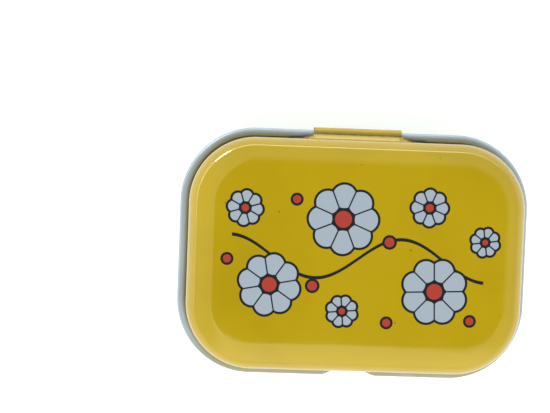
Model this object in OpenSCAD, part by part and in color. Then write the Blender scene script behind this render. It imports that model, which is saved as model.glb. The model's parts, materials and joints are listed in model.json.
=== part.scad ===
// Hinged tin: a drawn body whose rim is rolled outward into a round bead, and a drawn
// lid whose long rolled tab turns on that bead at the back. It is shown closed, in
// millimetres. X runs across the width, the hinge is at the back on +Y, the finger
// notch is at the front, and the tin stands on Z = 0.

/* [Case] */
// Width over the outside of the body wall
case_w = 167; // [140:1:200]
// Depth over the outside of the body wall
case_d = 115; // [104:1:150]
// Height from the base to the middle of the bead
body_h = 62; // [40:1:80]
// Outside radius of the upright corners
corner_r = 33; // [26:1:40]
// Thickness of the tinned sheet
sheet_t = 0.4; // [0.3:0.05:0.5]

/* [Base] */
// Outside radius of the edge between wall and base
base_edge_r = 4.5; // [3:0.5:7]
// Width of the flat rim that the tin stands on
base_rim_w = 4; // [3:0.5:6]
// Height that the panel inside the rim is raised
base_recess = 0.8; // [0.5:0.1:1.2]
// Width of the slope between rim and raised panel
base_step_w = 1.5; // [1:0.25:2.5]
// Height that the rim is drawn up at the corners, so that the straight sides carry the tin
corner_lift = 0.25; // [0.15:0.05:0.35]

/* [Bead] */
// Diameter of the rolled bead
bead_d = 4.8; // [4:0.2:5.6]
// Angle from the wall to the raw edge of the rolled bead
bead_open = 45; // [35:5:60]

/* [Finger notch] */
// Length of the bead that is pressed flat at the front
notch_w = 13; // [10:1:24]
// Length of the ramp at each end of the flat
notch_ramp = 7; // [3:0.5:9]
// Thickness of the flattened bead outside the wall
notch_t = 1.1; // [0.9:0.1:1.5]

/* [Lid] */
// Height of the lid's top above the middle of the bead
lid_rise = 27; // [20:0.5:30]
// Outside radius of the shoulder between top and wall
shoulder_r = 13; // [8:0.5:15]
// Depth that the skirt reaches below the middle of the bead
skirt_h = 7; // [4:0.5:9]
// Running gap between the skirt and the body wall
skirt_gap = 0.25; // [0.2:0.05:0.4]
// Gap between the lid's step and the bead under it
seat_gap = 0.25; // [0.2:0.05:0.4]

/* [Hinge] */
// Length of the rolled knuckle
knuckle_w = 44; // [30:1:60]
// Radial running gap between knuckle and bead
knuckle_gap = 1; // [0.1:0.05:1.2]
// Length of the flare from the lid's edge up to each end of the knuckle
flare_w = 12.5; // [8:0.5:16]
// Gap at each end of the knuckle in the window of the back wall
window_end = 0.75; // [0.5:0.25:1.5]
// Height of the window in the back wall, below the middle of the bead
window_h = 3.7; // [3.6:0.1:5]
// Length of the wire inside the bead past each end of the knuckle
wire_past = 10; // [6:1:16]
// Height of the stiffening panel pressed into the wall under the window
pad_h = 7; // [5:0.5:10]
// Depth that the stiffening panel is pressed inward
pad_depth = 0.5; // [0.3:0.1:0.6]
// Width of wall left between window and stiffening panel
pad_gap = 1.2; // [1:0.2:2]

/* [Hidden] */
$fn = 96;

bead_r = bead_d / 2;
// Middle of the bead, outward from the outside of the wall
bead_x = bead_r - sheet_t;
bead_reach = bead_x + bead_r;
hinge_y = case_d / 2 + bead_x;

base_in = base_edge_r + base_rim_w + base_step_w;

// The front skirt swings outward a little as the lid starts to lift
skirt_swing = skirt_h * skirt_h / (2 * case_d);
skirt_x = -(sheet_t + skirt_gap + skirt_swing);
// Lowest height of the lid's wall at which it clears the bead by the seat gap
seat_z = sqrt(pow(bead_r + seat_gap, 2) - pow(bead_x, 2));
// Height that the mitre of a 45 degree bend takes in the sheet
mitre = sheet_t * tan(22.5);

knuckle_in_r = bead_r + knuckle_gap;
knuckle_out_r = knuckle_in_r + sheet_t;
// Where the lid's wall ends over the tab: above the step's mitre and the knuckle's inside
tab_top = max(seat_z + mitre, sqrt(pow(knuckle_in_r, 2) - pow(bead_x, 2)));
// Angles round the bead, counted from straight out: where the knuckle leaves the lid's
// wall, where its free edge ends inside the tin, and how far the flare climbs
knuckle_root = acos(-(bead_x + sheet_t) / knuckle_out_r);
knuckle_edge = 190;
flare_crest = 95;
tab_cut_w = knuckle_w + 2 * flare_w;
// How far a cutting solid runs past the face that it cuts
past = 1;

// A wedge of the plane between two angles, for cutting an arc out of a ring
module wedge(reach, from, to) {
    polygon([
        [0, 0],
        [reach * cos(from), reach * sin(from)],
        [reach * cos((from + to) / 2), reach * sin((from + to) / 2)],
        [reach * cos(to), reach * sin(to)]
    ]);
}

// A flat ring of sheet
module ring(outer_r) {
    difference() {
        circle(r = outer_r);
        circle(r = outer_r - sheet_t);
    }
}

// The part of a flat ring of sheet between two angles
module ring_part(outer_r, from, to) {
    intersection() {
        ring(outer_r);
        wedge(2 * outer_r, from, to);
    }
}

// The case outline in plan, drawn in by inset
module outline(inset) {
    r = corner_r - inset;
    half_x = case_w / 2 - corner_r;
    half_y = case_d / 2 - corner_r;
    square([2 * half_x + 2 * r, 2 * half_y], center = true);
    square([2 * half_x, 2 * half_y + 2 * r], center = true);
    for (x = [-half_x, half_x], y = [-half_y, half_y]) {
        translate([x, y]) circle(r = r);
    }
}

// Runs a profile along X, with its X turned outward on the back (+Y) side
module along_back(length) {
    translate([0, case_d / 2, 0])
        rotate([0, 0, 90])
            rotate([90, 0, 0])
                linear_extrude(height = length, center = true) children();
}

// Sweeps a profile round the case outline: its X is measured outward from the outside
// of the body wall, and its Y is height. The last child is the profile at the corners
module around() {
    last = $children - 1;
    half_x = case_w / 2 - corner_r;
    half_y = case_d / 2 - corner_r;
    for (turn = [0, 180]) {
        rotate([0, 0, turn]) {
            along_back(2 * half_x) children(0);
            translate([case_w / 2, 0, 0])
                rotate([90, 0, 0])
                    linear_extrude(height = 2 * half_y, center = true) children(0);
            translate([half_x, half_y, 0])
                rotate_extrude(angle = 90) translate([corner_r, 0]) children(last);
            translate([-half_x, half_y, 0])
                rotate([0, 0, 90])
                    rotate_extrude(angle = 90) translate([corner_r, 0]) children(last);
        }
    }
}

// Standing rim, base edge, wall and rolled bead of the body, with the rim and the base
// edge drawn up by lift
module body_profile(lift) {
    rim_in = base_edge_r + base_rim_w;
    edge_z = base_edge_r + lift;
    polygon([
        [-base_in, base_recess],
        [-rim_in, lift],
        [-base_edge_r, lift],
        [-base_edge_r, lift + sheet_t],
        [-rim_in, lift + sheet_t],
        [-base_in, base_recess + sheet_t]
    ]);
    translate([-base_edge_r, edge_z]) ring_part(base_edge_r, 270, 360);
    translate([-sheet_t, edge_z]) square([sheet_t, body_h - edge_z]);
    translate([bead_x, body_h]) {
        difference() {
            ring(bead_r);
            wedge(2 * bead_r, 180, 180 + bead_open);
        }
    }
}

// The length of the front bead that the notch takes up, in plan
module notch_zone() {
    length = notch_w + 2 * notch_ramp;
    translate([-length / 2, -case_d / 2 - bead_reach - past, body_h - bead_r - past])
        cube([length, bead_reach + past, 2 * (bead_r + past)]);
}

// The bead pressed flat against the front wall, with a ramp at each end
module notch_flat() {
    end_x = notch_w / 2 + notch_ramp;
    wall_y = -case_d / 2;
    intersection() {
        rotate([0, 0, 180])
            along_back(2 * end_x)
                translate([bead_x, body_h]) circle(r = bead_r);
        translate([0, 0, body_h - bead_r - past])
            linear_extrude(height = 2 * (bead_r + past))
                polygon([
                    [-end_x, wall_y],
                    [-end_x, wall_y - bead_reach],
                    [-notch_w / 2, wall_y - notch_t],
                    [notch_w / 2, wall_y - notch_t],
                    [end_x, wall_y - bead_reach],
                    [end_x, wall_y]
                ]);
    }
}

// The window in the back wall that the knuckle turns in
module hinge_window() {
    length = knuckle_w + 2 * window_end;
    translate([-length / 2, case_d / 2 - sheet_t - past, body_h - window_h])
        cube([length, sheet_t + past, window_h]);
}

// A block in the back wall under the window: grow is its margin, and its faces lie at
// two depths inside the wall's outer face
module pad_block(grow, deep, shallow) {
    top = body_h - window_h - pad_gap;
    translate([-knuckle_w / 2 - grow, case_d / 2 - deep, top - pad_h - grow])
        cube([knuckle_w + 2 * grow, deep - shallow, pad_h + 2 * grow]);
}

module body_shell() {
    color("#c3c9c4") {
        difference() {
            union() {
                difference() {
                    around() {
                        body_profile(0);
                        body_profile(corner_lift);
                    }
                    notch_zone();
                }
                notch_flat();
                translate([0, 0, base_recess])
                    linear_extrude(height = sheet_t) outline(base_in);
                pad_block(0, sheet_t + pad_depth, 0);
            }
            hinge_window();
            pad_block(-sheet_t, pad_depth, -past / 2);
        }
    }
}

// Shoulder, wall, step and skirt of the lid, from the middle of the bead up
module lid_profile() {
    step_z = seat_z + skirt_x;
    translate([-shoulder_r, lid_rise - shoulder_r]) ring_part(shoulder_r, 0, 90);
    polygon([
        [0, lid_rise - shoulder_r],
        [-sheet_t, lid_rise - shoulder_r],
        [-sheet_t, seat_z + mitre],
        [skirt_x - sheet_t, step_z + mitre],
        [skirt_x - sheet_t, -skirt_h],
        [skirt_x, -skirt_h],
        [skirt_x, step_z],
        [0, seat_z]
    ]);
}

// Where the skirt and step are trimmed away for the tab
module tab_cut() {
    deep = sheet_t - skirt_x + past;
    translate([-tab_cut_w / 2, case_d / 2 - deep, body_h - skirt_h - past])
        cube([tab_cut_w, deep + past, skirt_h + past + tab_top]);
}

// The lid's wall carried down to the bead where the tab leaves it
module tab_root_profile() {
    root_z = knuckle_in_r * sin(knuckle_root);
    difference() {
        translate([-sheet_t, root_z])
            square([sheet_t, tab_top + sheet_t - root_z]);
        translate([bead_x, 0]) circle(r = knuckle_in_r);
    }
}

// The tab rolled round the bead
module knuckle_profile() {
    translate([bead_x, 0]) {
        difference() {
            ring(knuckle_out_r);
            wedge(2 * knuckle_out_r, knuckle_root, knuckle_edge);
        }
    }
}

// The flare that rises from the lid's edge to the ends of the knuckle
module tab_flare() {
    intersection() {
        translate([0, 0, body_h])
            along_back(tab_cut_w)
                translate([bead_x, 0]) ring_part(knuckle_out_r, flare_crest, knuckle_root);
        linear_extrude(height = body_h + lid_rise)
            polygon([
                [-tab_cut_w / 2, case_d / 2 - knuckle_out_r],
                [-tab_cut_w / 2, case_d / 2],
                [-knuckle_w / 2, hinge_y],
                [knuckle_w / 2, hinge_y],
                [tab_cut_w / 2, case_d / 2],
                [tab_cut_w / 2, case_d / 2 - knuckle_out_r]
            ]);
    }
}

module lid_shell() {
    color("#d2b01c") {
        difference() {
            union() {
                translate([0, 0, body_h]) around() lid_profile();
                translate([0, 0, body_h + lid_rise - sheet_t])
                    linear_extrude(height = sheet_t) outline(shoulder_r);
            }
            tab_cut();
        }
        translate([0, 0, body_h]) {
            along_back(tab_cut_w) tab_root_profile();
            along_back(knuckle_w) knuckle_profile();
        }
        tab_flare();
    }
}

module hinge_wire() {
    length = knuckle_w + 2 * wire_past;
    color("silver")
        translate([-length / 2, hinge_y, body_h])
            rotate([0, 90, 0])
                cylinder(r = bead_r - sheet_t, h = length);
}

body_shell();
lid_shell();
hinge_wire();
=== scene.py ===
"""Dressed model of a hinged tin: two pressed sheet-metal shells that turn on a rolled bead.

The shells are worked out as middle surfaces of the sheet on a grid, and given their
thickness there, so that the lacquered outside, the bare inside and the cut edges each
carry their own finish. Sizes are in metres, in the frame's own axes.
"""

import json
import logging
from collections.abc import Callable
from dataclasses import dataclass
from enum import Enum
from functools import partial
from typing import Any

import bmesh
import bpy
import numpy as np
from mathutils import Matrix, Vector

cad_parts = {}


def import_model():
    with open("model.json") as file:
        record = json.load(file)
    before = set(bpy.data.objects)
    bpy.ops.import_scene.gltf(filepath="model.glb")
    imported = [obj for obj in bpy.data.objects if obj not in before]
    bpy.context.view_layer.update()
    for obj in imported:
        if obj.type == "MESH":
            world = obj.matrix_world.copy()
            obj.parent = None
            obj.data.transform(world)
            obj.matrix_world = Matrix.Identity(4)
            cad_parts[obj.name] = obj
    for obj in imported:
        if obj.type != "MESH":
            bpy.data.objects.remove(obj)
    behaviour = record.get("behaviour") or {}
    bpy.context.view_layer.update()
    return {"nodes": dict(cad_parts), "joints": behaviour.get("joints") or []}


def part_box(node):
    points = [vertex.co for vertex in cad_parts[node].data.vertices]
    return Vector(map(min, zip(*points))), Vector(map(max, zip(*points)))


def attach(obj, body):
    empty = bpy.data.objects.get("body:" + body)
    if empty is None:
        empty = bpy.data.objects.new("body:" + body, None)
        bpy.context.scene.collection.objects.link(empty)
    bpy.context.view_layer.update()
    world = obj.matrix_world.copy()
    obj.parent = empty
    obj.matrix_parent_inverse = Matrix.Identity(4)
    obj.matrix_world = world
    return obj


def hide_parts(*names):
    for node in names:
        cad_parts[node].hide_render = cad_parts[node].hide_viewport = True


MM = 0.001
LOG = logging.getLogger("tin")

# Closer than any real detail: for merging points and for telling stations apart
HAIR = 0.001 * MM
# The cuts in the lid's sheet between skirt, flare and knuckle
CUT_W = 0.02 * MM
# How far inward a flat panel is taken to run where its tangent is worked out
PANEL_REACH = 30 * MM
# Faces that meet at more than this many degrees keep a sharp edge between them
SHARP_DEG = 35.0


class Face(Enum):
    """The three kinds of face on a pressed sheet, by material slot."""

    OUTSIDE = 0
    INSIDE = 1
    CUT_EDGE = 2


class Tab(Enum):
    """What the lid's sheet does below its wall at one station round the rim."""

    SKIRT = 0
    FLARE = 1
    KNUCKLE = 2


# Shared sizes


@dataclass(frozen=True)
class TinSizes:
    """Sizes that both shells share, in metres.

    The stations of the front and back are evenly spaced out to even_half on each side of the
    middle, which is just short of where the corners begin.
    """

    wall_w: float
    wall_d: float
    bead_r: float
    bead_z: float
    lid_top: float
    corner_r: float = 33 * MM
    sheet: float = 0.4 * MM
    even_half: float = 50 * MM

    @classmethod
    def from_frame(cls, joint: dict[str, Any]) -> "TinSizes":
        """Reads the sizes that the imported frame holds.

        Args:
            joint: The lid's hinge joint, whose axis is the middle of the back bead.

        Returns:
            The sizes, with the case measured over its walls and not over its bead.
        """
        low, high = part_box("body_shell")
        bead_z = joint["pos_m"][2]
        bead_r = high[2] - bead_z
        reach = 2 * bead_r - cls.sheet
        return cls(
            wall_w=high[0] - low[0] - 2 * reach,
            wall_d=high[1] - low[1] - 2 * reach,
            bead_r=bead_r,
            bead_z=bead_z,
            lid_top=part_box("lid_shell")[1][2],
        )

    @property
    def bead_out(self) -> float:
        """How far the middle of the bead lies outside the outer face of the wall."""
        return self.bead_r - self.sheet


# Surfaces


def smooth(t: np.ndarray) -> np.ndarray:
    """The curve 3t^2 - 2t^3 from 0 to 1, level at both ends, with t held to that range."""
    t = np.clip(t, 0.0, 1.0)
    return t * t * (3.0 - 2.0 * t)


def arc(out: float, height: float, radius: float, start: float, end: float, steps: int) -> np.ndarray:
    """Points on an arc in a profile, at centre + radius * (cos, sin) of even angles.

    Args:
        out: The centre's place outward from the wall.
        height: The centre's height.
        radius: The arc's radius.
        start: First angle in degrees, counted from straight out towards up.
        end: Last angle in degrees.
        steps: Number of steps between them.

    Returns:
        An array of (steps + 1, 2) outward places and heights.
    """
    angle = np.radians(np.linspace(start, end, steps + 1))
    return np.stack([out + radius * np.cos(angle), height + radius * np.sin(angle)], axis=1)


def walk(path: np.ndarray, length: np.ndarray) -> tuple[np.ndarray, np.ndarray]:
    """Places on a profile path at the given lengths along it, by linear interpolation.

    Args:
        path: Points of (k, 2) in order.
        length: Lengths from the first point, in any shape.

    Returns:
        The outward places and the heights, each in the shape of length.
    """
    along = np.concatenate([[0.0], np.cumsum(np.linalg.norm(np.diff(path, axis=0), axis=1))])
    return np.interp(length, along, path[:, 0]), np.interp(length, along, path[:, 1])


@dataclass(frozen=True)
class Outline:
    """Stations round the case, counter-clockwise from above, on the outside of the wall."""

    foot: np.ndarray
    outward: np.ndarray

    @classmethod
    def around(
        cls, sizes: TinSizes, front: np.ndarray, back: np.ndarray, side_steps: int, corner_steps: int
    ) -> "Outline":
        """Runs round a rounded rectangle: a straight side, then a quarter circle, four times.

        Args:
            sizes: The tin's sizes.
            front: Stations in X along the straight front.
            back: Stations in X along the straight back.
            side_steps: Steps along each straight end.
            corner_steps: Steps round each corner.

        Returns:
            The outline.
        """
        half_x = sizes.wall_w / 2 - sizes.corner_r
        half_y = sizes.wall_d / 2 - sizes.corner_r
        ends = np.array([-1.0, 1.0])
        front = np.unique(np.concatenate([half_x * ends, front]))
        back = np.unique(np.concatenate([half_x * ends, back]))[::-1]
        side = np.linspace(-half_y, half_y, side_steps + 1)
        sides = [
            (np.full_like(side, half_x), side, 0.0),
            (back, np.full_like(back, half_y), 90.0),
            (np.full_like(side, -half_x), side[::-1], 180.0),
            (front, np.full_like(front, -half_y), 270.0),
        ]
        turn = np.linspace(0.0, 90.0, corner_steps + 1)[1:-1]
        inner, angle = [], []
        for x, y, heading in sides:
            inner.append(np.stack([x, y], axis=1))
            angle.append(np.full(len(x), heading))
            corner = np.array([[x[-1], y[-1]]])
            inner.append(np.repeat(corner, len(turn), axis=0))
            angle.append(heading + turn)
        heading = np.radians(np.concatenate(angle))
        outward = np.stack([np.cos(heading), np.sin(heading)], axis=1)
        return cls(foot=np.concatenate(inner) + sizes.corner_r * outward, outward=outward)

    @property
    def x(self) -> np.ndarray:
        """Each station's X."""
        return self.foot[:, 0]

    def faces(self, direction: int) -> np.ndarray:
        """Which stations lie on the straight back (direction 1) or front (direction -1)."""
        return self.outward[:, 1] * direction > 0.9999


@dataclass
class SheetSurface:
    """The middle surface of a sheet: rows of a profile carried round an outline.

    out and height place each point outward from the wall and in height. spread draws each row
    in towards the case's middle: 0 is at the middle and 1 leaves the row where it is.
    """

    outline: Outline
    out: np.ndarray
    height: np.ndarray
    spread: np.ndarray

    def points(self) -> np.ndarray:
        """Each point is (foot + outward * out) * spread in plan, at its height.

        Returns:
            An array of (stations, rows, 3).
        """
        plan = self.outline.foot[:, None, :] + self.outline.outward[:, None, :] * self.out[:, :, None]
        return np.concatenate([plan * self.spread[None, :, None], self.height[:, :, None]], axis=2)

    def normals(self) -> np.ndarray:
        """Unit normals towards the tin's outside: each profile's tangent, turned a quarter.

        Returns:
            An array of (stations, rows, 3).
        """
        reach = self.out - (1.0 - self.spread[None, :]) * PANEL_REACH
        along_out = np.gradient(reach, axis=1)
        along_up = np.gradient(self.height, axis=1)
        length = np.maximum(np.hypot(along_out, along_up), 1e-12)
        flat = (along_up / length)[:, :, None] * self.outline.outward[:, None, :]
        return np.concatenate([flat, -(along_out / length)[:, :, None]], axis=2)


def wobble(points: np.ndarray) -> np.ndarray:
    """The slight unevenness of pressed sheet: four long sine waves in X, Y and Z, from -1 to 0.

    Args:
        points: Points of (..., 3).

    Returns:
        A share of the unevenness for each point, never above 0, so that no point goes outward.
    """
    # Radians per metre along X, Y and Z
    wave = np.array([[71, 23, 9], [-38, 64, 21], [90, -47, 55], [17, 101, -70]], dtype=float)
    phase = np.array([0.4, 2.1, 4.0, 5.3])
    return (np.sin(points @ wave.T + phase).mean(axis=-1) - 1.0) / 2.0


def sheet_object(
    name: str,
    surface: SheetSurface,
    keep: np.ndarray,
    sheet: float,
    marks: dict[str, np.ndarray],
    uneven: np.ndarray,
) -> bpy.types.Object:
    """Makes a closed solid of sheet metal from its middle surface.

    Each point goes out and in along its normal by half the sheet. Every kept cell of the
    grid gives an outer and an inner face, and every edge with no kept neighbour a cut edge
    between them. A row whose spread is 0 is a pole: it needs no cut edge.

    Args:
        name: The object's name.
        surface: The middle surface.
        keep: Which cells exist, as (stations, rows - 1).
        sheet: The sheet's thickness.
        marks: Named marks of use on each point, from 0 to 1, as (stations, rows).
        uneven: How far the wobble may press each point inward, as (stations, rows).

    Returns:
        The object, at the origin.
    """
    stations, rows = surface.height.shape
    middle, normal = surface.points(), surface.normals()
    middle = middle + normal * (uneven * wobble(middle))[:, :, None]
    skins = [middle + normal * (sheet / 2), middle - normal * (sheet / 2)]
    points = np.concatenate([skin.reshape(-1, 3) for skin in skins])
    column, row = np.nonzero(keep)
    ahead = (column + 1) % stations
    corners = [column * rows + row, ahead * rows + row, ahead * rows + row + 1, column * rows + row + 1]
    pole_first = np.full((stations, 1), surface.spread[0] == 0)
    pole_last = np.full((stations, 1), surface.spread[-1] == 0)
    neighbours = [
        np.concatenate([pole_first, keep[:, :-1]], axis=1),
        np.roll(keep, -1, axis=0),
        np.concatenate([keep[:, 1:], pole_last], axis=1),
        np.roll(keep, 1, axis=0),
    ]
    outer = np.stack(corners, axis=1)
    inner = outer[:, ::-1] + stations * rows
    rims = []
    for edge, beside in enumerate(neighbours):
        bare = ~beside[column, row]
        start, end = corners[edge][bare], corners[(edge + 1) % 4][bare]
        rims.append(np.stack([end, start, start + stations * rows, end + stations * rows], axis=1))
    cut = np.concatenate(rims)
    faces = np.concatenate([outer, inner, cut])
    kind = np.repeat([face.value for face in Face], [len(outer), len(inner), len(cut)])
    used, packed = np.unique(faces, return_inverse=True)
    mesh = bpy.data.meshes.new(name)
    mesh.from_pydata(points[used].tolist(), [], packed.reshape(faces.shape).tolist())
    mesh.polygons.foreach_set("material_index", kind.astype(np.int32))
    for mark, amount in marks.items():
        spots = np.tile(amount.reshape(-1), 2)[used].astype(np.float32)
        mesh.attributes.new(mark, "FLOAT", "POINT").data.foreach_set("value", spots)
    close_poles(mesh)
    mesh.shade_smooth()
    mesh.set_sharp_from_angle(angle=np.radians(SHARP_DEG))
    piece = bpy.data.objects.new(name, mesh)
    bpy.context.scene.collection.objects.link(piece)
    return piece


def close_poles(mesh: bpy.types.Mesh) -> None:
    """Merges the coincident points of a pole row."""
    work = bmesh.new()
    work.from_mesh(mesh)
    bmesh.ops.remove_doubles(work, verts=work.verts, dist=HAIR)
    work.to_mesh(mesh)
    work.free()


# Finishes

SOFT = {"interpolation_type": "SMOOTHSTEP"}
BLEND = {"data_type": "RGBA", "out": 2}
TIMES = {"operation": "MULTIPLY"}
TIMES_PLUS = {"operation": "MULTIPLY_ADD"}
MINUS = {"operation": "SUBTRACT"}
SIZE_OF = {"operation": "ABSOLUTE"}


def linear(colour: str) -> tuple[float, float, float, float]:
    """Turns an sRGB hex colour into linear red, green, blue and an alpha of 1."""
    parts = np.array([int(colour[i : i + 2], 16) / 255.0 for i in (1, 3, 5)])
    value = np.where(parts <= 0.04045, parts / 12.92, ((parts + 0.055) / 1.055) ** 2.4)
    return (float(value[0]), float(value[1]), float(value[2]), 1.0)


def add_node(
    tree: bpy.types.NodeTree,
    kind: str,
    inputs: tuple[Any, ...] | dict[int | str, Any] = (),
    out: int | str = 0,
    **settings: Any,
) -> bpy.types.NodeSocket | None:
    """Adds a shader node, sets its properties, and sets or links its inputs.

    Args:
        tree: The node tree.
        kind: The node's type, without Blender's common first word.
        inputs: Values or output sockets, in order or by an input's name or number.
        out: Name or number of the output that is wanted.
        settings: Property names and values.

    Returns:
        That output, or None where the node has none.
    """
    node = tree.nodes.new("ShaderNode" + kind)
    for name, value in settings.items():
        setattr(node, name, value)
    for name, value in inputs.items() if isinstance(inputs, dict) else enumerate(inputs):
        if isinstance(value, bpy.types.NodeSocket):
            tree.links.new(value, node.inputs[name])
        else:
            node.inputs[name].default_value = value
    return node.outputs[out] if node.outputs else None


class Recipe:
    """A material being made: its nodes, and the place on the piece in millimetres.

    A noise whose Scale is written as 1 / n has patches about n millimetres long.
    """

    def __init__(self, name: str) -> None:
        """Makes an empty material.

        Args:
            name: The material's name.
        """
        self.material = bpy.data.materials.new(name)
        self.material.use_nodes = True
        self.material.node_tree.nodes.clear()
        self.add: Callable[..., Any] = partial(add_node, self.material.node_tree)
        metres = self.add("TexCoord", out="Object")
        self.place = self.add("VectorMath", {0: metres, "Scale": 1 / MM}, operation="SCALE")

    def rubbed(self) -> Any:
        """Where the coat is rubbed through: the wear mark plus a fine noise, past a threshold."""
        wear = self.add("Attribute", out="Fac", attribute_name="wear")
        grain = self.add("TexNoise", {"Vector": self.place, "Scale": 1 / 1.6, "Detail": 4})
        return self.add("MapRange", (self.add("Math", (grain, 0.9, wear), **TIMES_PLUS), 1.12, 1.2), **SOFT)

    def over(self, below: Any, above: Any, *masks: Any) -> Any:
        """Lays a colour over another where all the masks are 1.

        Args:
            below: The colour below, a hex value or a socket.
            above: The colour above, a hex value or a socket.
            masks: Masks from 0 to 1, which are multiplied.

        Returns:
            The resulting colour.
        """
        mask = masks[0]
        for other in masks[1:]:
            mask = self.add("Math", (mask, other), **TIMES)
        below, above = (linear(c) if isinstance(c, str) else c for c in (below, above))
        return self.add("Mix", {0: mask, 6: below, 7: above}, **BLEND)

    def dented(self, wave_mm: float, wave_depth: float, fine: Any, fine_depth: float) -> Any:
        """The normal of a skin with long soft dents under a fine grain.

        Args:
            wave_mm: The dents' length in millimetres.
            wave_depth: Their depth in millimetres.
            fine: The fine grain, from 0 to 1.
            fine_depth: Its depth in millimetres.

        Returns:
            The normal.
        """
        wave = self.add("TexNoise", {"Vector": self.place, "Scale": 1 / wave_mm, "Detail": 2})
        below = self.add("Bump", {"Height": wave, "Distance": wave_depth * MM})
        return self.add("Bump", {"Height": fine, "Distance": fine_depth * MM, "Normal": below})

    def finish(self, sockets: dict[str, Any]) -> bpy.types.Material:
        """Adds the surface shader with the given sockets and returns the material."""
        self.add("OutputMaterial", {"Surface": self.add("BsdfPrincipled", sockets)})
        return self.material


@dataclass(frozen=True)
class Daisy:
    """One printed daisy or berry: its middle and radius in millimetres, its turn in radians."""

    x: float
    y: float
    radius: float
    turn: float = 0.0


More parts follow.
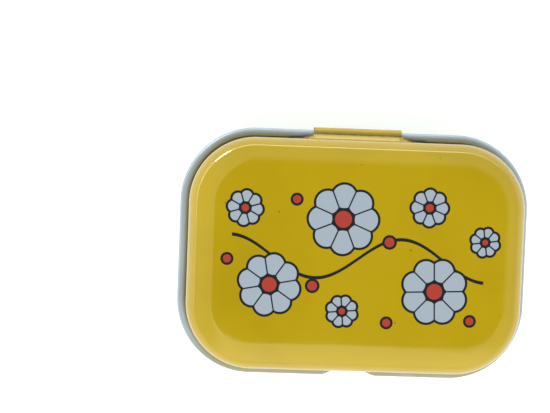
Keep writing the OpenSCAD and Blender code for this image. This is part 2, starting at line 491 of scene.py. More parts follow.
@dataclass(frozen=True)
class GardenPrint:
    """A printed garland: a wavy black stem, white daisies with red hearts, and red berries.

    Sizes are in millimetres. The three shares are of a daisy's radius.
    """

    white: str = "#b0bccc"
    red: str = "#bb463c"
    black: str = "#26292c"
    petals: int = 8
    petal_place: float = 0.64
    petal_size: float = 0.36
    heart_size: float = 0.27
    line: float = 0.6
    soft: float = 0.12
    stem_rise: float = 10.0
    stem_wave: float = 84.0
    stem_half: float = 62.0
    daisies: tuple[Daisy, ...] = (
        Daisy(-43.0, -14.0, 15.5, 0.2),
        Daisy(-8.0, 19.0, 17.5, 0.0),
        Daisy(38.0, -15.0, 16.5, 0.35),
        Daisy(-56.0, 23.0, 9.0, 0.1),
        Daisy(-7.0, -26.0, 8.0, 0.3),
        Daisy(34.0, 26.0, 9.5, 0.0),
        Daisy(62.0, 10.0, 7.5, 0.25),
    )
    berries: tuple[Daisy, ...] = (
        Daisy(-31.0, 28.0, 2.6),
        Daisy(-22.0, -14.0, 3.0),
        Daisy(15.0, -31.0, 2.6),
        Daisy(15.0, 8.5, 3.0),
        Daisy(56.0, -29.0, 2.6),
        Daisy(-64.0, -2.0, 2.6),
    )

    def within(self, mix: Recipe, distance: Any, limit: float) -> Any:
        """The mask of where a distance is below a limit, with a printed edge's softness."""
        return mix.add("MapRange", (distance, limit + self.soft, limit - self.soft), **SOFT)

    def line_at(self, mix: Recipe, distance: Any, place: float, width: float) -> Any:
        """The mask of a line of the given half width where a distance equals place."""
        off = mix.add("Math", (mix.add("Math", (distance, place), **MINUS),), **SIZE_OF)
        return self.within(mix, off, width)

    def flower(self, mix: Recipe, plan: Any, daisy: Daisy) -> tuple[Any, Any, Any]:
        """Masks of one daisy of round petals.

        The angle is folded into one petal by a zigzag. A petal is a circle of radius p whose
        middle is at distance d, so a point at radius r and folded angle f lies
        sqrt(r^2 + d^2 - 2 r d cos f) - p outside it. The seam is where f is greatest.

        Args:
            mix: The material being made.
            plan: The place in plan, in millimetres.
            daisy: The daisy.

        Returns:
            The masks of its petals, its red heart and its black lines.
        """
        add = mix.add
        shares = (self.petal_place, self.petal_size, self.heart_size)
        petal_d, petal_r, heart_r = (share * daisy.radius for share in shares)
        local = add("VectorMath", (plan, (daisy.x, daisy.y, 0.0)), **MINUS)
        parts = add("SeparateXYZ", (local,)).node.outputs
        radius = add("VectorMath", (local,), out=1, operation="LENGTH")
        angle = add("Math", (parts["Y"], parts["X"]), operation="ARCTAN2")
        turned = add("Math", (angle, daisy.turn), operation="ADD")
        fold = add("Math", (turned, np.pi / self.petals), operation="PINGPONG")
        across = add("Math", (radius, add("Math", (fold,), operation="COSINE")), **TIMES)
        square = add("Math", (across, -2 * petal_d, petal_d**2), **TIMES_PLUS)
        square = add("Math", (radius, radius, square), **TIMES_PLUS)
        reach = add("Math", (square,), operation="SQRT")
        petals = self.within(mix, reach, petal_r)
        heart = self.within(mix, radius, heart_r)
        seam = add("Math", (radius, add("Math", (np.pi / self.petals, fold), **MINUS)), **TIMES)
        inside = add("Math", (petals, heart), **MINUS)
        seams = add("Math", (self.within(mix, seam, 0.6 * self.line), inside), **TIMES)
        lines = self.line_at(mix, radius, heart_r, self.line)
        for drawn in (self.line_at(mix, reach, petal_r, self.line), seams):
            lines = add("Math", (lines, drawn), operation="MAXIMUM")
        return petals, heart, lines

    def stem(self, mix: Recipe) -> Any:
        """The mask of the stem y = rise * sin(2 pi x / wave), ended at both sides."""
        parts = mix.add("SeparateXYZ", (mix.place,)).node.outputs
        phase = mix.add("Math", (parts["X"], 2 * np.pi / self.stem_wave), **TIMES)
        sine = mix.add("Math", (phase,), operation="SINE")
        wave = mix.add("Math", (sine, -self.stem_rise, parts["Y"]), **TIMES_PLUS)
        line = self.line_at(mix, wave, 0.0, 1.4 * self.line)
        side = mix.add("Math", (parts["X"],), **SIZE_OF)
        return mix.add("Math", (line, self.within(mix, side, self.stem_half)), **TIMES)

    def over(self, mix: Recipe, ground: Any, lowest: float) -> Any:
        """Prints the garland over a ground colour, on the flat top alone.

        Args:
            mix: The material being made.
            ground: The colour below the print.
            lowest: The height in millimetres above which the print shows.

        Returns:
            The printed colour.
        """
        height = mix.add("SeparateXYZ", (mix.place,)).node.outputs["Z"]
        plan = mix.add("VectorMath", (mix.place, (1.0, 1.0, 0.0)), **TIMES)
        on_top = mix.add("MapRange", (height, lowest, lowest + 0.2), **SOFT)
        colour = mix.over(ground, self.black, self.stem(mix), on_top)
        for flower in self.daisies:
            petals, heart, lines = self.flower(mix, plan, flower)
            for ink, mask in ((self.white, petals), (self.red, heart), (self.black, lines)):
                colour = mix.over(colour, ink, mask, on_top)
        for berry in self.berries:
            away = mix.add("VectorMath", (plan, (berry.x, berry.y, 0.0)), out=1, operation="DISTANCE")
            colour = mix.over(colour, self.red, self.within(mix, away, berry.radius), on_top)
            colour = mix.over(colour, self.black, self.line_at(mix, away, berry.radius, self.line), on_top)
        return colour


@dataclass(frozen=True)
class YellowLacquer:
    """Stoving lacquer rolled on tinplate: a deep yellow with a hard clear gloss, slightly uneven.

    It is a little translucent, so a small share of the gloss is tinted by the tin below. Small
    dark specks lie in it, rubbed edges show the steel, and the hinge's crease is darkened brown:
    painted shade, with some grime.
    The print stops print_drop below the lid's top. Sizes are in millimetres.
    """

    yellow: str = "#c4a514"
    shade: str = "#ba9c12"
    speck: str = "#5a4a16"
    # Painted shade, with some grime, for the hinge's crease
    crease_shade_and_grime: str = "#86702a"
    steel: str = "#8c8d88"
    speck_cell: float = 6.5
    speck_r: float = 0.5
    tin_share: float = 0.08
    roughness: float = 0.055
    ior: float = 1.58
    print_drop: float = 1.5

    def material(self, top: float) -> bpy.types.Material:
        """Builds the lacquer for a lid whose flat top is at the given height in millimetres."""
        mix = Recipe("yellow_stoving_lacquer")
        add = mix.add
        clouds = add("TexNoise", {"Vector": mix.place, "Scale": 1 / 60, "Detail": 3})
        colour = mix.over(self.yellow, self.shade, add("MapRange", (clouds, 0.35, 0.7), **SOFT))
        colour = GardenPrint().over(mix, colour, top - self.print_drop)
        cells = add("TexVoronoi", {"Vector": mix.place, "Scale": 1 / self.speck_cell}).node.outputs
        tone = add("SeparateColor", (cells["Color"],))
        reach = add("MapRange", (tone, 0.6, 1.0, 0.0, self.speck_r / self.speck_cell), **SOFT)
        speck = add("MapRange", (add("Math", (cells["Distance"], reach), **MINUS), 0.0, -0.02), **SOFT)
        colour = mix.over(colour, self.speck, speck, 0.85)
        # Painted shade with some grime: the hinge's crease is darkened brown, in patches
        crease_mottle = add("TexNoise", {"Vector": mix.place, "Scale": 1 / 2.2, "Detail": 4})
        crease_mottle = add("MapRange", (crease_mottle, 0.2, 0.6, 0.5, 1.0), **SOFT)
        colour = mix.over(colour, self.crease_shade_and_grime, add("Attribute", out="Fac", attribute_name="crease_shade_and_grime"), crease_mottle)
        worn = mix.rubbed()
        colour = mix.over(colour, self.steel, worn)
        film = add("TexNoise", {"Vector": mix.place, "Scale": 1 / 9, "Detail": 4})
        long = add("Mapping", {"Vector": mix.place, "Scale": (1 / 26, 1.0, 1.0)})
        scratch = add("TexNoise", {"Vector": long, "Scale": 1 / 0.7, "Detail": 3})
        rough = add("Math", (film, 0.06, self.roughness - 0.03), **TIMES_PLUS)
        rough = add("Math", (add("MapRange", (scratch, 0.66, 0.74), **SOFT), 0.08, rough), **TIMES_PLUS)
        peel = add("TexNoise", {"Vector": mix.place, "Scale": 1 / 1.4, "Detail": 2})
        metal = add("Math", (worn, 1 - self.tin_share, self.tin_share), **TIMES_PLUS)
        normal = mix.dented(wave_mm=24, wave_depth=0.02, fine=peel, fine_depth=0.005)
        return mix.finish(
            {"Base Color": colour, "Roughness": rough, "Metallic": metal, "Normal": normal, "IOR": self.ior}
        )


@dataclass(frozen=True)
class PaleEnamel:
    """Pale grey enamel stoved on tinplate: a soft gloss with faint scuffs and a dusty foot."""

    pale: str = "#c7cec9"
    shade: str = "#c1c8c4"
    scuff: str = "#8f938c"
    steel: str = "#8c8d88"
    roughness: float = 0.3
    ior: float = 1.5

    def material(self) -> bpy.types.Material:
        """Builds the enamel."""
        mix = Recipe("pale_grey_enamel")
        add = mix.add
        height = add("SeparateXYZ", (mix.place,)).node.outputs["Z"]
        clouds = add("TexNoise", {"Vector": mix.place, "Scale": 1 / 45, "Detail": 3})
        colour = mix.over(self.pale, self.shade, add("MapRange", (clouds, 0.35, 0.7), **SOFT))
        dust = add("TexNoise", {"Vector": mix.place, "Scale": 1 / 3, "Detail": 5})
        dust = add("MapRange", (dust, 0.45, 0.75), **SOFT)
        foot = add("Math", (dust, add("MapRange", (height, 5.0, 0.0), **SOFT)), **TIMES)
        colour = mix.over(colour, self.scuff, foot, 0.25)
        long = add("Mapping", {"Vector": mix.place, "Scale": (1 / 18, 1 / 18, 1.0)})
        scrape = add("TexNoise", {"Vector": long, "Scale": 1 / 1.2, "Detail": 4})
        colour = mix.over(colour, self.scuff, add("MapRange", (scrape, 0.7, 0.8), **SOFT), 0.25)
        worn = mix.rubbed()
        colour = mix.over(colour, self.steel, worn)
        film = add("TexNoise", {"Vector": mix.place, "Scale": 1 / 12, "Detail": 4})
        rough = add("Math", (film, 0.12, self.roughness - 0.06), **TIMES_PLUS)
        rough = add("Math", (foot, 0.2, rough), **TIMES_PLUS)
        peel = add("TexNoise", {"Vector": mix.place, "Scale": 1 / 1.6, "Detail": 2})
        normal = mix.dented(wave_mm=28, wave_depth=0.06, fine=peel, fine_depth=0.01)
        return mix.finish(
            {"Base Color": colour, "Roughness": rough, "Metallic": worn, "Normal": normal, "IOR": self.ior}
        )


@dataclass(frozen=True)
class Tinplate:
    """Rolled tinplate under a thin stoved lacquer: silver-grey and satin, with faint rolling lines.

    The lacquer scatters about half of the light, so it is neither a mirror nor a paint. Towards
    the front of the bead it is painted warm and dull: painted shade under the lid's front edge.
    """

    bright: str = "#b7c2ce"
    dull: str = "#aeb9c4"
    # Painted warm shade for the front of the bead
    warm_shade: str = "#a29d82"
    roughness: float = 0.42
    metal_share: float = 0.55

    def material(self) -> bpy.types.Material:
        """Builds the tinplate, its rolling lines along X."""
        mix = Recipe("satin_lacquered_tinplate")
        add = mix.add
        clouds = add("TexNoise", {"Vector": mix.place, "Scale": 1 / 18, "Detail": 4})
        colour = mix.over(self.bright, self.dull, add("MapRange", (clouds, 0.3, 0.75), **SOFT))
        # Painted shade: the front of the bead is darkened and warmed, as under the lid's front edge
        front_shade = add("Attribute", out="Fac", attribute_name="front_shade")
        patchy = add("MapRange", (clouds, 0.2, 0.6, 0.7, 1.0), **SOFT)
        colour = mix.over(colour, self.warm_shade, front_shade, patchy)
        long = add("Mapping", {"Vector": mix.place, "Scale": (1 / 60, 1.0, 1.0)})
        lines = add("TexNoise", {"Vector": long, "Scale": 1 / 0.45, "Detail": 2})
        film = add("TexNoise", {"Vector": mix.place, "Scale": 1 / 7, "Detail": 4})
        rough = add("Math", (film, 0.16, self.roughness - 0.08), **TIMES_PLUS)
        normal = mix.dented(wave_mm=22, wave_depth=0.05, fine=lines, fine_depth=0.004)
        return mix.finish(
            {"Base Color": colour, "Roughness": rough, "Metallic": self.metal_share, "Normal": normal}
        )


@dataclass(frozen=True)
class CutSteel:
    """The sheared edge of the sheet: plain steel, rougher and darker than its tinned faces."""

    steel: str = "#7f8180"
    rust: str = "#6b5340"

    def material(self) -> bpy.types.Material:
        """Builds the cut edge, with specks of first rust."""
        mix = Recipe("sheared_steel_edge")
        add = mix.add
        spots = add("TexNoise", {"Vector": mix.place, "Scale": 1 / 2.5, "Detail": 4})
        rusty = add("MapRange", (spots, 0.6, 0.78), **SOFT)
        burr = add("TexNoise", {"Vector": mix.place, "Scale": 1 / 0.5, "Detail": 3})
        return mix.finish(
            {
                "Base Color": mix.over(self.steel, self.rust, rusty),
                "Roughness": add("Math", (rusty, 0.3, 0.42), **TIMES_PLUS),
                "Metallic": add("Math", (rusty, -0.7, 1.0), **TIMES_PLUS),
                "Normal": add("Bump", {"Height": burr, "Distance": 0.01 * MM}),
            }
        )


@dataclass(frozen=True)
class DrawnWire:
    """Drawn steel wire: die lines along its length and a dull grey gloss."""

    light: str = "#a3a5a4"
    dark: str = "#858786"

    def material(self) -> bpy.types.Material:
        """Builds the wire, which lies along X."""
        mix = Recipe("drawn_steel_wire")
        add = mix.add
        long = add("Mapping", {"Vector": mix.place, "Scale": (1 / 50, 1.0, 1.0)})
        lines = add("TexNoise", {"Vector": long, "Scale": 1 / 0.4, "Detail": 2})
        return mix.finish(
            {
                "Base Color": mix.over(self.light, self.dark, add("MapRange", (lines, 0.35, 0.65), **SOFT)),
                "Roughness": add("Math", (lines, 0.15, 0.28), **TIMES_PLUS),
                "Metallic": 1.0,
                "Normal": add("Bump", {"Height": lines, "Distance": 0.006 * MM}),
            }
        )


def dress(piece: bpy.types.Object, finishes: dict[Face, bpy.types.Material]) -> None:
    """Puts the finishes of a pressed sheet in the slots that Face names."""
    for face in Face:
        piece.data.materials.append(finishes[face])


# Shells


@dataclass
class BodyShell:
    """The drawn body: raised base panel, standing rim, wall, rolled bead, notch and window.

    The window and the pad under it are in the back wall, and their heights are counted down
    from the middle of the bead. lift_ramp and bead_open are in degrees.
    """

    sizes: TinSizes
    edge_r: float = 4.5 * MM
    rim_w: float = 4 * MM
    step_w: float = 1.5 * MM
    recess: float = 0.8 * MM
    corner_lift: float = 0.25 * MM
    lift_ramp: float = 12.0
    bead_open: float = 45.0
    notch_w: float = 9 * MM
    notch_ramp: float = 9 * MM
    notch_reach: float = 1.1 * MM
    notch_half_h: float = 3.1 * MM
    window_half: float = 22.75 * MM
    window_drop: float = 3.7 * MM
    pad_half: float = 22 * MM
    pad_h: float = 7 * MM
    pad_gap: float = 1.2 * MM
    pad_depth: float = 0.5 * MM
    pad_soft: float = 0.8 * MM
    foot_worn: float = 3 * MM
    crown_worn: float = 1.5 * MM
    unevenness: float = 0.09 * MM

    panel_rows: int = 10
    curl_steps: int = 44

    def heights(self) -> np.ndarray:
        """Heights of the wall's rows, with close ones at the pad's edges and the window."""
        top = self.sizes.bead_z
        sill = top - self.window_drop
        pad_top = sill - self.pad_gap
        edge = np.linspace(0.0, self.pad_soft, 4)
        rows = [
            np.linspace(self.edge_r, top, 26),
            pad_top - edge,
            pad_top - self.pad_h + edge,
            np.array([sill]),
        ]
        return np.unique(np.concatenate(rows).round(7))

    def profile(self) -> tuple[np.ndarray, np.ndarray]:
        """The middle of the sheet from the base's centre to the bead's raw edge.

        Panel, a smooth step down to the rim, a quarter circle up to the wall, the wall,
        and then three quarters of a circle and more, outward and back.

        Returns:
            Points of (rows, 2), and each row's spread.
        """
        sizes, half = self.sizes, self.sizes.sheet / 2
        rim_in = self.edge_r + self.rim_w
        base_in = rim_in + self.step_w
        spread = np.linspace(0.0, 1.0, self.panel_rows + 1)[:-1]
        panel = np.tile([-base_in, self.recess + half], (self.panel_rows, 1))
        t = np.linspace(0.0, 1.0, 9)
        step = np.stack([-base_in + self.step_w * t, half + self.recess * (1 - smooth(t))], axis=1)
        rim = np.stack([np.linspace(-rim_in, -self.edge_r, 5), np.full(5, half)], axis=1)[1:]
        edge = arc(-self.edge_r, self.edge_r, self.edge_r - half, -90, 0, 12)[1:]
        heights = self.heights()[1:]
        wall = np.stack([np.full(len(heights), -half), heights], axis=1)
        end = self.bead_open - 180
        curl = arc(sizes.bead_out, sizes.bead_z, sizes.bead_r - half, 180, end, self.curl_steps)[1:]
        path = np.concatenate([panel, step, rim, edge, wall, curl])
        return path, np.concatenate([spread, np.ones(len(path) - len(spread))])

    def flattened_curl(self) -> np.ndarray:
        """The curl pressed against the wall: the same turn on a narrow upright ellipse."""
        half = self.sizes.sheet / 2
        half_w = self.notch_reach / 2
        angle = np.radians(np.linspace(180, self.bead_open - 180, self.curl_steps + 1)[1:])
        top = self.sizes.bead_z + self.notch_half_h / 2
        out = -half + half_w * (1 + np.cos(angle))
        return np.stack([out, top - self.notch_half_h + self.notch_half_h * np.sin(angle)], axis=1)

    def build(self) -> bpy.types.Object:
        """Builds the body shell.

        Returns:
            The piece, with no finish yet.
        """
        ramp_end = self.notch_w / 2 + self.notch_ramp
        even, both = self.sizes.even_half, np.array([-1, 1])
        # Even stations, with close ones over the notch and at the pad's soft edges
        front = np.concatenate([np.linspace(-1, 1, 25) * even, np.linspace(-1, 1, 55) * ramp_end])
        pad = (self.pad_half - np.linspace(0, self.pad_soft, 4))[:, None] * both
        back = np.concatenate([np.linspace(-1, 1, 45) * even, both * self.window_half, pad.ravel()])
        outline = Outline.around(self.sizes, front, back, side_steps=14, corner_steps=36)
        path, spread = self.profile()
        out = np.tile(path[:, 0], (len(outline.x), 1))
        height = np.tile(path[:, 1], (len(outline.x), 1))
        self.lift_corners(outline, path, height)
        self.press_notch(outline, out, height)
        self.press_pad(outline, out, height)
        surface = SheetSurface(outline, out, height, spread)
        keep = np.ones((len(outline.x), len(path) - 1), dtype=bool)
        inside_x = outline.faces(1) & (np.abs(outline.x) < self.window_half + HAIR)
        columns = inside_x & np.roll(inside_x, -1)
        sill = self.sizes.bead_z - self.window_drop
        wall_rows = (path[:-1, 1] > sill - HAIR) & (path[1:, 1] < self.sizes.bead_z + HAIR)
        wall_rows &= path[1:, 0] < 0
        keep[np.ix_(columns, wall_rows)] = False
        # The second mark is painted shade on the front of the bead
        marks = {"wear": self.wear(surface), "front_shade": self.front_shade(surface)}
        return sheet_object("body_pressing", surface, keep, self.sizes.sheet, marks, self.uneven(surface))

    def lift_corners(self, outline: Outline, path: np.ndarray, height: np.ndarray) -> None:
        """Draws rim and base edge up at the corners, from nothing at each side's end, in place."""
        turn = np.degrees(np.arctan2(*np.abs(outline.outward).T))
        corner = smooth(np.minimum(turn, 90.0 - turn) / self.lift_ramp)[:, None]
        along = np.clip((path[:, 0] + self.edge_r + self.rim_w + self.step_w) / self.step_w, 0, 1)
        fade = 1 - smooth((path[:, 1] - self.recess) / (2 * self.edge_r))
        height += self.corner_lift * corner * smooth(along) * fade

    def press_notch(self, outline: Outline, out: np.ndarray, height: np.ndarray) -> None:
        """Blends the round curl into the flattened one over the notch, in place."""
        flat = self.flattened_curl()
        along = np.clip((np.abs(outline.x) - self.notch_w / 2) / self.notch_ramp, 0, 1)
        share = np.where(outline.faces(-1), 1 - 0.5 * (along + smooth(along)), 0.0)[:, None]
        rows = slice(-self.curl_steps, None)
        out[:, rows] += share * (flat[:, 0] - out[:, rows])
        height[:, rows] += share * (flat[:, 1] - height[:, rows])

    def press_pad(self, outline: Outline, out: np.ndarray, height: np.ndarray) -> None:
        """Presses the stiffening panel under the window inward, with soft edges, in place."""
        soft = self.pad_soft
        top = self.sizes.bead_z - self.window_drop - self.pad_gap
        across = smooth((self.pad_half - np.abs(outline.x)) / soft) * outline.faces(1)
        up = smooth((top - height) / soft) * smooth((height - top + self.pad_h) / soft)
        wall = out < 0
        out -= self.pad_depth * across[:, None] * up * wall

    def uneven(self, surface: SheetSurface) -> np.ndarray:
        """How far the wall and the base panel may be pressed in: not at the rim and the bead."""
        below_bead = smooth((self.sizes.bead_z - surface.height) / self.edge_r)
        above_rim = smooth(surface.height / (2 * self.edge_r))
        return self.unevenness * np.maximum(above_rim * below_bead * (surface.out < 0), surface.spread < 1)

    def wear(self, surface: SheetSurface) -> np.ndarray:
        """Wear from 0 to 1: on the base edge and, less, on the crown of the bead."""
        foot = 0.55 * smooth(1 - surface.height / self.foot_worn)
        crown = 0.3 * smooth((surface.height - self.sizes.bead_z - self.crown_worn) / MM)
        return np.clip(foot + crown, 0, 1) * (surface.spread[None, :] > 0.99)

    def front_shade(self, surface: SheetSurface) -> np.ndarray:
        """Painted shade from 0 to 1: on the bead, growing round the front corners to the front."""
        front = smooth((-surface.outline.outward[:, 1] - 0.35) / 0.6)[:, None]
        return front * (surface.out > 0)


@dataclass
class LidShell:
    """The drawn lid: flat top, shoulder, wall, inner skirt, and the tab rolled into a knuckle.

    Heights are counted from the middle of the bead. slope, crease and knuckle_edge are in
    degrees: the tab's slope below level, and where it meets the knuckle's circle and ends on
    it. flare_least is the share of the way to the crease that a flare runs at its outer end.
    skirt_bend holds the heights where the skirt's step inward starts and ends.
    """

    sizes: TinSizes
    shoulder_r: float = 13 * MM
    skirt_h: float = 7 * MM
    skirt_in: float = 0.86 * MM
    skirt_bend: tuple[float, float] = (2.15 * MM, 0.7 * MM)
    knuckle_gap: float = 1.0 * MM
    knuckle_half: float = 22 * MM
    flare_w: float = 12.5 * MM
    seam_z: float = 8.0 * MM
    slope: float = 45.4
    crease: float = 84.0
    bend_soft: float = 0.4 * MM
    flare_least: float = 0.62
    knuckle_edge: float = -170.0
    crown: float = 0.15 * MM
    # How far the painted crease shade, with some grime, reaches
    crease_shade_reach: float = 1.2 * MM
    worn_end: float = 1.2 * MM
    unevenness: float = 0.1 * MM

    tab_points: int = 200
    tab_rows: int = 26
    low_rows: int = 78

    @property
    def ring_r(self) -> float:
        """Radius of the middle of the knuckle's sheet."""
        return self.sizes.bead_r + self.knuckle_gap + self.sizes.sheet / 2

    def tab_start(self, sloped: bool) -> np.ndarray:
        """The middle of the tab's sheet from the wall to the crease above the bead.

        Sloped, it leaves the wall early and runs straight down and outward to the crease.
        Close, it stays on the wall down to the circle round the bead, and follows that.
        Each path is sampled evenly and its bends are rounded by a running mean.

        Args:
            sloped: Whether the sheet takes the slope.

        Returns:
            As many points as tab_points, with heights counted from the middle of the bead.
        """
        centre, wall = self.sizes.bead_out, -self.sizes.sheet / 2
        ring = arc(centre, 0.0, self.ring_r, self.crease + 1, self.crease, 2)
        if sloped:
            top = ring[-1, 1] + (ring[-1, 0] - wall) * np.tan(np.radians(self.slope))
            path = np.array([[wall, top], ring[-1]])
        else:
            touch = np.degrees(np.arccos((wall - centre) / self.ring_r))
            path = arc(centre, 0.0, self.ring_r, touch, self.crease, 60)
        path = np.concatenate([[[wall, self.seam_z]], path])
        length = np.linalg.norm(np.diff(path, axis=0), axis=1).sum()
        even = np.stack(walk(path, np.linspace(0, length, self.tab_points)), axis=1)
        reach = int(self.tab_points * self.bend_soft / length)
        before, after = (np.repeat(end, reach, axis=0) for end in (even[:1], even[-1:]))
        total = np.cumsum(np.concatenate([np.zeros((1, 2)), before, even, after]), axis=0)
        mean = (total[2 * reach + 1 :] - total[: -2 * reach - 1]) / (2 * reach + 1)
        mean[[0, -1]] = even[[0, -1]]
        return mean

    def skirt_path(self) -> np.ndarray:
        """The middle of the skirt's sheet from the wall down: a smooth step in, then straight."""
        half = self.sizes.sheet / 2
        top, foot = self.skirt_bend
        wall = np.linspace(self.seam_z, top, 5)[:-1]
        height = np.concatenate([wall, np.linspace(top, foot, 24), np.linspace(foot, -self.skirt_h, 22)[1:]])
        return np.stack([-half - self.skirt_in * smooth((top - height) / (top - foot)), height], axis=1)

    def kinds(self, outline: Outline) -> np.ndarray:
        """Which Tab value each station has."""
        away = np.abs(outline.x)
        kind = np.full(len(away), Tab.SKIRT.value)
        kind[outline.faces(1) & (away < self.knuckle_half + self.flare_w + HAIR)] = Tab.FLARE.value
        kind[outline.faces(1) & (away < self.knuckle_half + HAIR)] = Tab.KNUCKLE.value
        return kind

    def low_part(self, outline: Outline, kind: np.ndarray) -> tuple[np.ndarray, np.ndarray]:
        """Rows below the wall at every station, from the sheet's free edge up to the seam.

        Args:
            outline: The stations.
            kind: Each station's Tab value.

        Returns:
            Outward places and heights above the middle of the bead, as (stations, low_rows).
        """
        skirt = self.skirt_path()
        skirt_end = np.linalg.norm(np.diff(skirt, axis=0), axis=1).sum()
        fraction = np.linspace(0, 1, self.low_rows)
        skirt_out, skirt_z = walk(skirt, np.tile(fraction * skirt_end, (len(kind), 1)))
        away = 1 - (1 - np.clip((np.abs(outline.x) - self.knuckle_half) / self.flare_w, 0, 1))[:, None] ** 2
        climb = self.flare_least + (1 - self.flare_least) * (1 - away)
        index = np.arange(self.tab_points)
        place = climb * np.linspace(0, index[-1], self.tab_rows + 1)
        close, sloped = self.tab_start(sloped=False), self.tab_start(sloped=True)
        near = [
            away * np.interp(place, index, close[:, axis])
            + (1 - away) * np.interp(place, index, sloped[:, axis])
            for axis in (0, 1)
        ]
        full = (kind == Tab.KNUCKLE.value)[:, None]
        turn = np.linspace(self.crease, self.knuckle_edge, self.low_rows - self.tab_rows)[1:]
        ring_out = self.sizes.bead_out + self.ring_r * np.cos(np.radians(turn))
        ring_z = self.ring_r * np.sin(np.radians(turn))
        tab_out = np.concatenate([near[0], np.where(full, ring_out, near[0][:, -1:])], axis=1)
        tab_z = np.concatenate([near[1], np.where(full, ring_z, near[1][:, -1:])], axis=1)
        is_skirt = (kind == Tab.SKIRT.value)[:, None]
        out = np.where(is_skirt, skirt_out, tab_out)
        height = np.where(is_skirt, skirt_z, tab_z)
        return out[:, ::-1], height[:, ::-1]

    def high_part(self) -> tuple[np.ndarray, np.ndarray]:
        """Rows from the seam to the top's centre: wall, shoulder and a barely crowned panel.

        Returns:
            Points of (rows, 2) and each row's spread.
        """
        half = self.sizes.sheet / 2
        rise = self.sizes.lid_top - self.sizes.bead_z
        wall_top = rise - self.shoulder_r
        heights = np.linspace(self.seam_z, wall_top, 10)[1:]
        wall = np.stack([np.full(len(heights), -half), heights], axis=1)
        shoulder = arc(-self.shoulder_r, wall_top, self.shoulder_r - half, 0, 90, 26)[1:]
        lean = (shoulder[:, 1] - wall_top) / (self.shoulder_r - half)
        shoulder[:, 1] -= self.crown * lean**2
        spread = np.linspace(1.0, 0.0, 19)[1:]
        panel_z = rise - half - self.crown * spread**2
        panel = np.stack([np.full_like(spread, -self.shoulder_r), panel_z], axis=1)
        path = np.concatenate([wall, shoulder, panel])
        return path, np.concatenate([np.ones(len(path) - len(spread)), spread])

    def keep(self, kind: np.ndarray, rows: int) -> np.ndarray:
        """Which cells exist: the skirt, the flare as far as its crest, and the whole knuckle."""
        beside = np.roll(kind, -1)
        cells = np.ones((len(kind), rows - 1), dtype=bool)
        low = self.low_rows - 1
        cells[kind != beside, :low] = False
        flared = (kind != Tab.SKIRT.value) & (beside != Tab.SKIRT.value)
        cells[flared, low - self.tab_rows : low] = True
        unrolled = flared & ((kind == Tab.FLARE.value) | (beside == Tab.FLARE.value))
        cells[unrolled, : low - self.tab_rows] = False
        return cells

    def build(self) -> bpy.types.Object:
        """Builds the lid shell.

        Returns:
            The piece, with no finish yet.
        """
        even = self.sizes.even_half
        ends = np.array([self.knuckle_half, self.knuckle_half + self.flare_w])
        # Even stations, with close ones on the flares and a pair at each cut
        cuts = np.concatenate([ends, ends + CUT_W])
        flare = np.linspace(ends[0], ends[1], 18)
        front = np.linspace(-1, 1, 33) * even
        back = np.concatenate([np.linspace(-1, 1, 41) * even, cuts, -cuts, flare, -flare])
        outline = Outline.around(self.sizes, front, back, side_steps=16, corner_steps=40)
        kind = self.kinds(outline)
        low_out, low_z = self.low_part(outline, kind)
        path, high_spread = self.high_part()
        stations = len(kind)
        out = np.concatenate([low_out, np.tile(path[:, 0], (stations, 1))], axis=1)
        height = np.concatenate([low_z, np.tile(path[:, 1], (stations, 1))], axis=1) + self.sizes.bead_z
        spread = np.concatenate([np.ones(self.low_rows), high_spread])
        surface = SheetSurface(outline, out, height, spread)
        keep = self.keep(kind, len(spread))
        uneven = self.unevenness * smooth((height - self.sizes.bead_z) / self.seam_z - 0.5)
        # The second mark is painted shade, with some grime, along the hinge's crease
        marks = {"wear": self.wear(surface, kind), "crease_shade_and_grime": self.crease_shade_and_grime(surface, kind)}
        return sheet_object("lid_pressing", surface, keep, self.sizes.sheet, marks, uneven)

    def wear(self, surface: SheetSurface, kind: np.ndarray) -> np.ndarray:
        """Wear from 0 to 1: on the tab, at the ends of the knuckle."""
        away = np.abs(surface.outline.x)
        ends = 0.5 * smooth(1 - np.abs(away - self.knuckle_half) / self.worn_end)
        worn = np.where(kind[:, None] == Tab.SKIRT.value, 0.0, ends[:, None]) * np.ones_like(surface.height)
        worn[:, self.low_rows :] = 0.0
        return worn

    def crease_shade_and_grime(self, surface: SheetSurface, kind: np.ndarray) -> np.ndarray:
        """Painted shade with some grime, from 0 to 1 along the tab's crease: exp(-(d / reach)^2) at distance
        d from it.
        """
        crease = [self.low_rows - 1 - self.tab_rows]
        away = np.hypot(surface.out - surface.out[:, crease], surface.height - surface.height[:, crease])
        return np.exp(-((away / self.crease_shade_reach) ** 2)) * (kind[:, None] != Tab.SKIRT.value)


# Studio


@dataclass(frozen=True)
class Lamp:
    """A soft rectangular lamp: its place, width, height, power in watts, and if gloss shows it."""

    name: str
    place: tuple[float, float, float]
    width: float
    height: float
    power: float
    in_gloss: bool

    def build(self) -> None:
        """Adds the lamp, pointed at the middle of the floor, with its width level."""
        light = bpy.data.lights.new(self.name, "AREA")
        light.shape = "RECTANGLE"
        light.size = self.width
        light.size_y = self.height
        light.energy = self.power
        lamp = bpy.data.objects.new(self.name, light)
        bpy.context.scene.collection.objects.link(lamp)
        lamp.visible_glossy = self.in_gloss
        back = np.array(self.place) / np.linalg.norm(self.place)
        side = np.cross([0.0, 0.0, 1.0], back)
        side = side / np.linalg.norm(side)
        turn = Matrix(np.stack([side, np.cross(back, side), back], axis=1).tolist())
        lamp.matrix_world = Matrix.Translation(self.place) @ turn.to_4x4()


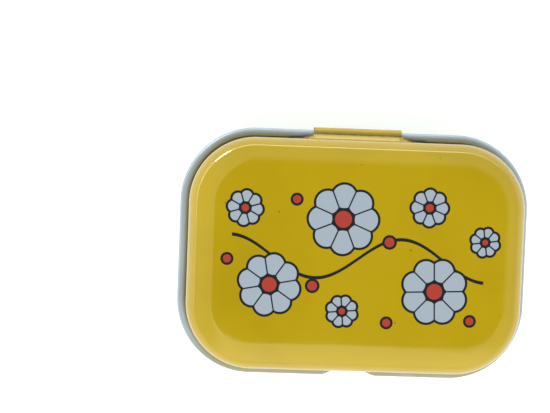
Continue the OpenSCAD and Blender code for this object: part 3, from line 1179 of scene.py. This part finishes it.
@dataclass(frozen=True)
class Studio:
    """A plain white floor and a soft pale room, with a dim patch overhead and a low window.

    The levels are strengths of the room's light. front_way and horizon_way are the level
    headings of its brighter front and of the brightest stretch of the horizon.
    """

    floor_half: float = 3.0
    floor_grey: str = "#f1f1f0"
    floor_glow: float = 0.42
    room_tint: str = "#f6faf4"
    room_level: float = 0.74
    front_level: float = 1.5
    front_way: tuple[float, float, float] = (0.1, -0.995, 0.0)
    overhead_level: float = 0.04
    horizon_level: tuple[float, float] = (1.0, 5.0)
    horizon_way: tuple[float, float, float] = (-0.45, 0.893, 0.0)
    horizon_top: tuple[float, float] = (0.06, 0.11)
    patch: tuple[tuple[float, float], ...] = ((-0.10, -0.03), (1.0, 0.22), (-0.174, -0.169), (0.8, 0.0))
    lamps: tuple[Lamp, ...] = (
        Lamp("low_window", (-0.815, 1.065, 0.17), 0.45, 0.14, 2.8, True),
        Lamp("high_softbox", (-0.1, -0.5, 1.6), 1.4, 1.4, 8.8, False),
    )

    def build(self) -> None:
        """Adds the floor, the world and the lamps."""
        self.floor()
        self.world()
        for lamp in self.lamps:
            lamp.build()

    def floor(self) -> None:
        """A flat floor that reads white to the camera and in gloss, and still takes the shadow."""
        half = self.floor_half
        mesh = bpy.data.meshes.new("studio_floor")
        corners = [(-half, -half, 0), (half, -half, 0), (half, half, 0), (-half, half, 0)]
        mesh.from_pydata(corners, [], [(0, 1, 2, 3)])
        floor = bpy.data.objects.new("studio_floor", mesh)
        bpy.context.scene.collection.objects.link(floor)
        mix = Recipe("white_paper_floor")
        add = mix.add
        paper = add("BsdfDiffuse", {"Color": linear(self.floor_grey)})
        lit = add("AddShader", (paper, add("Emission", {"Strength": self.floor_glow})))
        rays = add("LightPath").node.outputs
        seen = add("Math", (rays["Is Camera Ray"], rays["Is Glossy Ray"]), operation="MAXIMUM")
        seen = add("Math", (seen, rays["Is Transmission Ray"]), operation="MAXIMUM")
        add("OutputMaterial", {"Surface": add("MixShader", (seen, paper, lit))})
        mesh.materials.append(mix.material)

    def world(self) -> None:
        """White below, a bright band at the horizon, a pale room above, and a dim patch overhead.

        The patch is a rectangle on a ceiling one unit up. Each of its four edges is a ramp
        between the two places given in patch: left, right, front and back.
        """
        world = bpy.data.worlds.new("soft_room")
        bpy.context.scene.world = world
        world.use_nodes = True
        world.node_tree.nodes.clear()
        add = partial(add_node, world.node_tree)
        way = add("TexCoord", out="Generated")
        parts = add("SeparateXYZ", (way,)).node.outputs
        up = add("Math", (parts["Z"], 0.001), operation="MAXIMUM")
        patch = 1.0
        for axis, (outside, inside) in zip("XXYY", self.patch):
            ceiling = add("Math", (parts[axis], up), operation="DIVIDE")
            patch = add("Math", (add("MapRange", (ceiling, outside, inside), **SOFT), patch), **TIMES)
        level_way = add("VectorMath", (way, (1.0, 1.0, 0.0)), **TIMES)
        level_way = add("VectorMath", (level_way,), operation="NORMALIZE")
        front = add("VectorMath", (level_way, self.front_way), out=1, operation="DOT_PRODUCT")
        pale = add("MapRange", (front, 0.65, 0.9, self.room_level, self.front_level), **SOFT)
        room = add("MapRange", (patch, 0.0, 1.0, pale, self.overhead_level))
        heading = add("VectorMath", (level_way, self.horizon_way), out=1, operation="DOT_PRODUCT")
        horizon = add("MapRange", (heading, 0.0, 1.0, *self.horizon_level), **SOFT)
        level = add("MapRange", (parts["Z"], *self.horizon_top, horizon, room), **SOFT)
        level = add("MapRange", (parts["Z"], -0.02, 0.0, 1.0, level), **SOFT)
        glow = add("Background", {"Color": linear(self.room_tint), "Strength": level})
        add("OutputWorld", {"Surface": glow})


@dataclass(frozen=True)
class PhotoCamera:
    """The photograph's view: almost straight down on the lid, the hinge at the top.

    tip, turn and roll are in degrees, distance in metres and sensor in millimetres.
    """

    image_w: int = 550
    image_h: int = 413
    focal_px: float = 1444.0
    middle_px: tuple[float, float] = (352.7, 253.8)
    distance: float = 0.73098
    tip: float = 3.179
    turn: float = 2.839
    roll: float = -2.036
    sensor: float = 36.0

    def build(self, target: tuple[float, float, float]) -> None:
        """Places the camera so that target falls on middle_px, at distance along the view.

        The tin is turned by tip about its X, turn about its Y and roll about the view, and the
        camera takes the inverse of that.

        Args:
            target: The middle of the bead's plane.
        """
        tilt = (
            Matrix.Rotation(np.radians(self.roll), 3, "Z")
            @ Matrix.Rotation(np.radians(self.turn), 3, "Y")
            @ Matrix.Rotation(np.radians(self.tip), 3, "X")
        )
        right = (self.middle_px[0] - self.image_w / 2) / self.focal_px * self.distance
        down = (self.middle_px[1] - self.image_h / 2) / self.focal_px * self.distance
        seen = Matrix.Translation((right, -down, -self.distance)) @ tilt.to_4x4()
        data = bpy.data.cameras.new("photo_camera")
        data.sensor_width = self.sensor
        data.lens = self.sensor * self.focal_px / self.image_w
        data.clip_end = 20.0
        camera = bpy.data.objects.new("photo_camera", data)
        bpy.context.scene.collection.objects.link(camera)
        camera.matrix_world = Matrix.Translation(target) @ seen.inverted()
        bpy.context.scene.camera = camera


def main() -> None:
    """Builds the studio, the camera and each piece of the tin."""
    logging.basicConfig(level=logging.INFO, format="%(name)s: %(message)s")
    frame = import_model()
    sizes = TinSizes.from_frame(frame["joints"][0])
    Studio().build()
    PhotoCamera().build((0.0, 0.0, sizes.bead_z))

    tinplate = Tinplate().material()
    edge = CutSteel().material()
    body = BodyShell(sizes).build()
    bare = {Face.INSIDE: tinplate, Face.CUT_EDGE: edge}
    dress(body, bare | {Face.OUTSIDE: PaleEnamel().material()})
    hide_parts("body_shell")
    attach(body, "body")
    LOG.info("body pressing: %d faces", len(body.data.polygons))

    lid = LidShell(sizes).build()
    dress(lid, bare | {Face.OUTSIDE: YellowLacquer().material(sizes.lid_top / MM)})
    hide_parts("lid_shell")
    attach(lid, "lid")
    LOG.info("lid pressing: %d faces", len(lid.data.polygons))

    wire = frame["nodes"]["hinge_wire"]
    for slot in wire.material_slots:
        slot.material = DrawnWire().material()
    LOG.info("hinge wire: kept from the frame")

    bpy.context.scene.view_settings.view_transform = "Standard"


if __name__ == "__main__":
    main()
